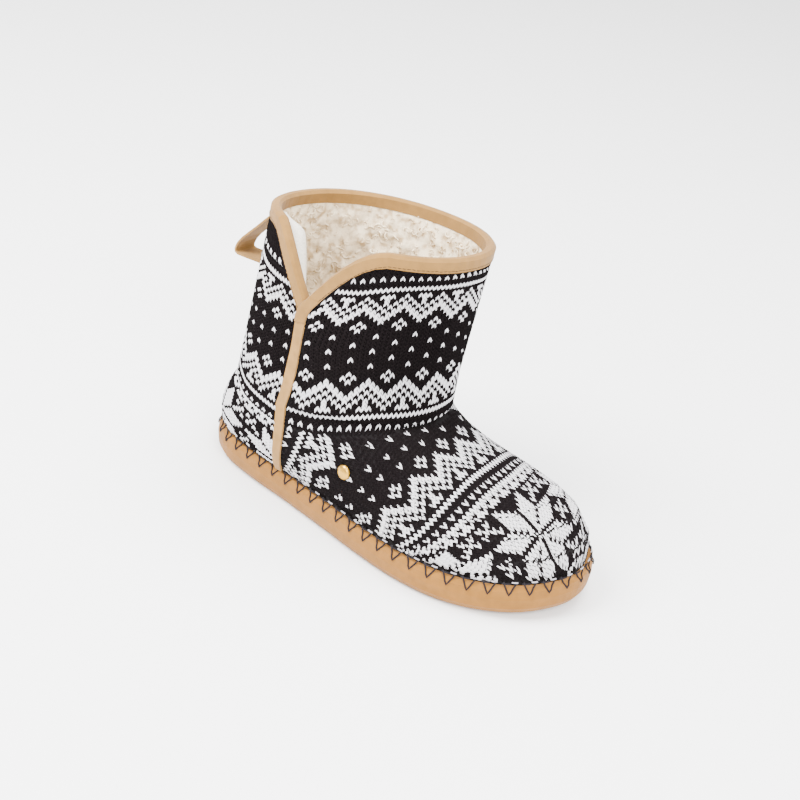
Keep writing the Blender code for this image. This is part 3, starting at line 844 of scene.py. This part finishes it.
class SlipperFleece(bpy.types.PropertyGroup):
    colour: colour_property("Fleece", "Colour of the lining's pile", (0.78, 0.66, 0.47))
    fold_colour: colour_property("Fold", "Colour of the lining's turned-in edge", (0.70, 0.655, 0.57))
    fold_width: length_property("Fold width", "Width of the lining's turned-in edge at the notch",
                                0.012, 0.002, 0.02)
    fold_puff: length_property("Fold thickness", "Thickness of the lining's turned-in edge at the notch",
                               0.0125, 0.002, 0.02)
    shadow: colour_property("Pile shadow", "Darker colour deep in the pile", (0.42, 0.30, 0.17))
    pile_depth: length_property("Pile depth", "Depth of the pile's ground over the lining", 0.0022,
                                0.0002, 0.006)
    density: bpy.props.FloatProperty(
        name="Curls", description="Curls on a square metre of lining", default=46000.0, min=0.0)


class SlipperSewing(bpy.types.PropertyGroup):
    whip_spacing: length_property("Whip stitch spacing", "Distance between whip stitches around the sole",
                                  0.0116, 0.004, 0.03)
    thread_radius: length_property("Thread", "Radius of the sole's sewing thread", 0.0005, 0.0001, 0.001)
    edge_stitch: length_property("Edge stitch", "Length of one stitch along the binding", 0.0026,
                                 0.001, 0.006)


class SlipperStage(bpy.types.PropertyGroup):
    floor: colour_property("Floor", "Colour of the floor", (0.9, 0.9, 0.9))
    key_power: bpy.props.FloatProperty(
        name="Key light", description="Power of the large soft light", default=72.0, min=0.0, unit="POWER")


class SLIPPER_OT_stage(bpy.types.Operator):
    """Floor, soft lights and the camera"""
    bl_idname = "slipper.stage"
    bl_label = "Stage"

    def execute(self, context):
        props = context.scene.slipper_stage
        floor = new_material("floor", props.floor, 0.9)
        half = 4.0
        corners = np.array([(-half, -half, 0.0), (half, -half, 0.0), (half, half, 0.0), (-half, half, 0.0)])
        ground = link(mesh_of("floor", corners, [np.array([[0, 1, 2, 3]])]), floor)
        world = bpy.data.worlds.new("studio")
        world.use_nodes = True
        give(world.node_tree.nodes["Background"],
             {"Color": (1.0, 1.0, 1.0, 1.0), "Strength": STUDIO_STRENGTH})
        context.scene.world = world
        for name, place, share in LIGHTS:
            light = bpy.data.lights.new(name, "AREA")
            light.shape = "DISK"
            light.size = LIGHT_WIDTH
            light.energy = props.key_power * share
            lamp = add(name, light)
            lamp.location = place
            aim = Vector(CAMERA_TARGET) - Vector(place)
            lamp.rotation_euler = aim.to_track_quat("-Z", "Y").to_euler()
        turn, rise, roll = [radians(angle) for angle in CAMERA_TURNS]
        back = Vector((sin(turn) * cos(rise), -cos(turn) * cos(rise), sin(rise)))
        right = (-back).cross(Vector((0, 0, 1))).normalized()
        up = right.cross(-back)
        across = right * cos(roll) + up * sin(roll)
        upward = up * cos(roll) - right * sin(roll)
        camera = bpy.data.cameras.new("camera")
        camera.sensor_width = 36.0
        camera.lens = CAMERA_LENS
        camera.clip_start = 0.01
        eye = add("camera", camera)
        place = Matrix((across, upward, back)).transposed().to_4x4()
        place.translation = Vector(CAMERA_TARGET) + back * CAMERA_DISTANCE
        eye.matrix_world = place
        context.scene.camera = eye
        return {"FINISHED"}


class SLIPPER_OT_suede(bpy.types.Operator):
    """Suede, metal and dark ground of the frame's own pieces; the ground is the black yarn, darkened as
    painted shade for the gaps between the stitches
    """
    bl_idname = "slipper.suede"
    bl_label = "Suede and metal"

    def execute(self, context):
        props = context.scene.slipper_suede
        yarns = context.scene.slipper_knit
        strip = suede("strip suede", props.strip)
        # Ground under the stitches: the black yarn's own colour, darkened by 0.8 as painted shade in the
        # gaps between the stitches
        ground = new_material("knit ground painted shade", [channel * 0.8 for channel in yarns.black], 1.0)
        finishes = {
            "outsole": suede("sole suede", props.sole, 0.10),
            "collar_binding": suede("binding suede", props.trim, 0.10),
            "side_strip": strip,
            "pull_loop": strip,
            "upper": ground,
            "stud": new_material("pale gold", props.stud, 0.30, metallic=1.0, gloss=0.5),
        }
        for name, finish in finishes.items():
            for slot in NODES[name].material_slots:
                slot.material = finish
        self.mitre(finishes["collar_binding"])
        return {"FINISHED"}

    def mitre(self, finish):
        """End of the binding's front branch, laid over the top of the strip."""
        trees = [surface(name) for name in ("collar_binding", "side_strip")]
        steps = np.linspace(0.0, 1.0, 22)
        key = np.linspace(0.0, 1.0, len(MITRE))
        sides = [np.interp(steps, key, column) * MM for column in zip(*MITRE)]
        front = []
        for left_x, left_z, right_x, right_z, step in zip(*sides, steps):
            for share in np.linspace(1.0, 0.0, 12):
                x = left_x + (right_x - left_x) * share
                z = left_z + (right_z - left_z) * share
                hits = [tree.ray_cast(Vector((x, -0.2, z)), Vector((0, 1, 0)), 0.158)[0] for tree in trees]
                y = min([hit[1] for hit in hits if hit is not None], default=WALL_Y)
                bevel = MITRE_BEVEL * (1 - (2 * share - 1) ** 6)
                front.append((x, y - bevel - 0.0004 * (1.0 - step) ** 0.7, z))
        front = np.array(front).reshape(len(steps), 12, 3)
        thin_piece("mitre_end", front, front + np.array([0.0, MITRE_THICKNESS, 0.0]), finish, "trim_suede")


class SLIPPER_OT_knit(bpy.types.Operator):
    """Charted knit of the foot, the front of the shaft and the back panel"""
    bl_idname = "slipper.knit"
    bl_label = "Knit"

    def execute(self, context):
        props = context.scene.slipper_knit
        colours = (yarn("black yarn", props.black, 0.35), yarn("white yarn", props.white, 0.06))
        tree = surface("upper")
        trims = [surface(name) for name in ("collar_binding", "side_strip", "outsole")]

        def clear(points, shown):
            """Of the shown points, those that no trim lies over."""
            shown[shown] = ~covered(points[shown], trims, TRIM_GAP)
            return shown

        def on_foot(points):
            x, _, z = points.T
            return clear(points, z < seam_height(x) - SEAM_GAPS[0])

        def on_front(points):
            x, y, z = points.T
            return clear(points, (z > seam_height(x) + SEAM_GAPS[1]) & ((y > 0) | (x > strip_x(z))))

        def on_back(points):
            x, y, z = points.T
            return clear(points, (y > 0) | (x < strip_x(z)))

        knit("knit_foot", foot_net(tree), foot_place, (-48, 36), (-34, 36), on_foot, colours, 0, 36)
        knit("knit_shaft", shaft_net(tree), front_place, (-42, 10), (-17, 62), on_front, colours, 1, 3)
        knit("knit_back", back_net(tree), back_place, (-60, 10), (-20, 50), on_back, colours, 1, 3)
        return {"FINISHED"}


class SLIPPER_OT_fleece(bpy.types.Operator):
    """Curly pile of the lining and the footbed"""
    bl_idname = "slipper.fleece"
    bl_label = "Fleece"

    def execute(self, context):
        props = context.scene.slipper_fleece
        material = new_material("fleece", props.colour, 1.0, gloss=0.03)
        mottle(material, props.shadow, props.colour, 210.0, 0.33, 0.56)
        roughen(material, 2200.0, 0.0004, 0.6, 5.0)
        tree = surface("upper")
        self.lining(props, tree, material)
        self.footbed(tree, material)
        self.fold(props, tree)
        return {"FINISHED"}

    def lining(self, props, tree, material):
        """Lumpy lining of the shaft and the foot, with its pile."""
        rows = 76
        columns = 180
        turns = np.linspace(-pi, pi, columns, endpoint=False)
        tops = collar_edges(turns)[:, 1] + LINING_LAP
        outside = []
        for row in range(rows):
            for turn, top in zip(turns, tops):
                z = LINING_FOOT + (top - LINING_FOOT) * row / (rows - 1)
                hit = from_inside(tree, z, turn)[0]
                outside.append(shaft_middle(z) if hit is None else hit[:])
        outside = np.array(outside).reshape(rows, columns, 3)
        centre = np.array([shaft_middle(z) for z in outside[:, :, 2].ravel()]).reshape(rows, columns, 3)
        inward = centre - outside
        inward[..., 2] = 0.0
        inward = unit(inward)
        rise = np.linspace(0.0, 1.0, rows)[:, None]
        depth = props.pile_depth * np.minimum(1.0, (1.0 - rise) * 14.0 + 0.12)
        wave = lumps(outside.reshape(-1, 3), *LINING_LUMPS).reshape(rows, columns) - LINING_LUMPS[1] / 2
        thick = 0.0005 + depth + wave * np.minimum(1.0, (1 - rise) * 9)
        front = outside + inward * thick[..., None]
        thin_piece("lining", front, outside + inward * 0.0003, material, "fleece", closed=True)
        share = np.clip((front[..., 2].ravel() - 0.055) / 0.02, 0.12, 1.0)
        share *= np.where(rise.repeat(columns, 1).ravel() > 0.985, 0.0, 1.0)
        grow_pile("lining_pile", front, True, share, material, 7)

    def footbed(self, tree, material):
        """Footbed of pile, out to the wall on both sides."""
        heel = tree.ray_cast(Vector((-0.08, 0.0, BED_LEVEL)), Vector((-1, 0, 0)), 0.1)[0][0] + BED_INSET
        xs = heel + (BED_FRONT_X - heel) * np.linspace(0.0, 1.0, 70) ** 1.2
        across = np.linspace(-1.0, 1.0, 31)
        insole = surface("insole")
        corners = corners_of("insole")
        bed = []
        for x in xs:
            near = corners[np.abs(corners[:, 0] - x) < 0.008]
            middle = Vector((x, (near[:, 1].min() + near[:, 1].max()) / 2, BED_LEVEL))
            low_y, high_y = [tree.ray_cast(middle, Vector((0, side, 0)), 0.1)[0][1] - BED_INSET * side
                             for side in (-1, 1)]
            for y in (low_y + high_y) / 2 + across * (high_y - low_y) / 2:
                hit = insole.ray_cast(Vector((x, y, 0.1)), Vector((0, 0, -1)), 0.2)[0]
                bed.append((x, y, BED_GROUND) if hit is None else hit[:])
        bed = np.array(bed).reshape(len(xs), len(across), 3)
        lift = 0.0012 + lumps(bed.reshape(-1, 3), *BED_LUMPS).reshape(bed.shape[:2])
        lift *= np.clip((1 - np.abs(across)) * 6, 0.08, 1)[None, :]
        top = bed + lift[..., None] * np.array([0.0, 0.0, 1.0])
        thin_piece("footbed", top, bed + np.array([0.0, 0.0, 0.00005]), material, "fleece")
        share = np.where(top[..., 0].ravel() < 0.02, 0.8, 0.1)
        grow_pile("footbed_pile", top, False, share, material, 9)

    def fold(self, props, tree):
        """Smooth turned-in edge of the lining, along the notch's back branch."""
        turns = np.radians(np.linspace(*FOLD_TURNS, 44))
        edge = collar_edges(turns)[:, 1]
        edge = np.convolve(np.pad(edge, 3, mode="edge"), np.ones(7) / 7, "valid")
        run = np.gradient(turns) * FOLD_RADIUS
        climb = np.gradient(edge)
        length = np.hypot(run, climb)
        shares = np.linspace(1.0, 0.0, 11)
        front = []
        back = []
        for share in shares:
            reach = props.fold_width * share - 0.001
            puff = sin(pi * (0.12 + 0.80 * share)) ** 0.6
            for step, (turn, z, aside, down) in enumerate(zip(turns, edge, -climb / length, run / length)):
                swell = puff * sin(pi * (0.05 + 0.86 * step / len(turns))) ** 0.7
                place = turn + aside * reach / FOLD_RADIUS
                hit = from_inside(tree, z + down * reach, place)[0]
                front.append(hit - level_ray(place) * (0.0015 + props.fold_puff * swell))
                back.append(hit - level_ray(place) * 0.0004)
        front, back = [np.array(grid).reshape(len(shares), len(turns), 3) for grid in (front, back)]
        material = new_material("lining fold", props.fold_colour, 1.0, gloss=0.03)
        roughen(material, 900.0, 0.0012, 0.8, 5.0)
        thin_piece("lining_fold", front, back, material, "fleece")


class SLIPPER_OT_sewing(bpy.types.Operator):
    """Whip stitches and running stitches around the sole, and the binding's edge stitch"""
    bl_idname = "slipper.sewing"
    bl_label = "Sewing"

    def execute(self, context):
        props = context.scene.slipper_sewing
        colours = context.scene.slipper_suede
        threads = {"thread": new_material("thread", colours.thread, 0.8),
                   "pale": new_material("pale thread", colours.pale, 0.8)}
        edge = SoleEdge()
        radius = props.thread_radius
        lean = 0.6 * np.linspace(-1, 1, len(WHIP)) ** 2
        self.around_sole(edge, "whip_stitches", np.array(WHIP), lean, radius, 0.2, threads["thread"])
        for name, start, stop, height, colour in RUNNING:
            steps = np.linspace(start, stop, len(RUNNING_INSET))
            shape = np.stack([steps, RUNNING_INSET, np.full(len(steps), height)], axis=1)
            self.around_sole(edge, name, shape, np.full(len(steps), 0.3), radius * 0.9, 0.0, threads[colour])
        self.binding_stitch(props, threads["thread"])
        return {"FINISHED"}

    def around_sole(self, edge, name, shape, lean, radius, lift, material):
        """Stitches of one shape around the sole: mm along, inset and height of each of its points."""
        count = round(edge.length / bpy.context.scene.slipper_sewing.whip_spacing)
        along = (np.arange(count) * edge.length / count)[:, None] + shape[:, 0] * MM
        ones = np.ones_like(along)
        path, out = edge.place(along, shape[:, 1] * MM * ones, shape[:, 2] * MM * ones)
        settle(path, out, radius * 0.7)
        normals = unit(np.concatenate([out, (lean * ones)[..., None]], axis=-1))
        thick = radius * ones
        link(strands(name, path, normals, thick, thick, thick * lift), material, "sole_suede")

    def binding_stitch(self, props, thread):
        """Edge stitches along the binding's lower edge."""
        turns = np.linspace(-pi, pi, 360, endpoint=False)
        edge = collar_edges(turns)[:, 0]
        tree = surface("collar_binding")
        slope = (np.roll(edge, -1) - np.roll(edge, 1)) / (2 * COLLAR_RADIUS * (turns[1] - turns[0]))
        heights = edge + EDGE_INSET * np.minimum(np.sqrt(1 + slope ** 2), 2.2)
        hits = [from_outside(tree, z, turn) for z, turn in zip(heights, turns)]
        hits = [(hit[:], normal[:]) for hit, normal in hits if hit is not None]
        line, normals = np.array(hits + hits[:1]).transpose(1, 0, 2)
        lengths = arc_lengths(line)
        count = round(lengths[-1] / props.edge_stitch)
        starts = np.arange(count) * lengths[-1] / count
        at = starts[:, None] + np.linspace(0.08, 0.84, 4)[None, :] * lengths[-1] / count
        path = points_at(at, lengths, line)
        facing = unit(points_at(at, lengths, normals))
        thick = np.full(path.shape[:2], EDGE_THREAD)
        link(strands("binding_stitches", path, facing, thick, thick, thick * 0.2), thread, "trim_suede")


STEPS = (
    (SLIPPER_OT_stage, "stage"),
    (SLIPPER_OT_suede, "suede"),
    (SLIPPER_OT_knit, "knit"),
    (SLIPPER_OT_fleece, "fleece"),
    (SLIPPER_OT_sewing, "sewing"),
)


class SLIPPER_PT_panel(bpy.types.Panel):
    """Steps and settings of the slipper boot"""
    bl_idname = "SLIPPER_PT_panel"
    bl_label = "Slipper boot"
    bl_space_type = "VIEW_3D"
    bl_region_type = "UI"
    bl_category = "Slipper"

    def draw(self, context):
        for operator, _ in STEPS:
            self.layout.operator(operator.bl_idname)
        for name in GROUPS:
            group = getattr(context.scene, name)
            box = self.layout.box()
            for key in GROUPS[name].__annotations__:
                box.prop(group, key)


GROUPS = {
    "slipper_knit": SlipperKnit,
    "slipper_suede": SlipperSuede,
    "slipper_fleece": SlipperFleece,
    "slipper_sewing": SlipperSewing,
    "slipper_stage": SlipperStage,
}


def register():
    for name, group in GROUPS.items():
        bpy.utils.register_class(group)
        setattr(bpy.types.Scene, name, bpy.props.PointerProperty(type=group))
    for operator, _ in STEPS:
        bpy.utils.register_class(operator)
    bpy.utils.register_class(SLIPPER_PT_panel)


def unregister():
    bpy.utils.unregister_class(SLIPPER_PT_panel)
    for operator, _ in reversed(STEPS):
        bpy.utils.unregister_class(operator)
    for name, group in GROUPS.items():
        delattr(bpy.types.Scene, name)
        bpy.utils.unregister_class(group)


def main():
    register()
    for _, step in STEPS:
        getattr(bpy.ops.slipper, step)()


if __name__ == "__main__":
    main()
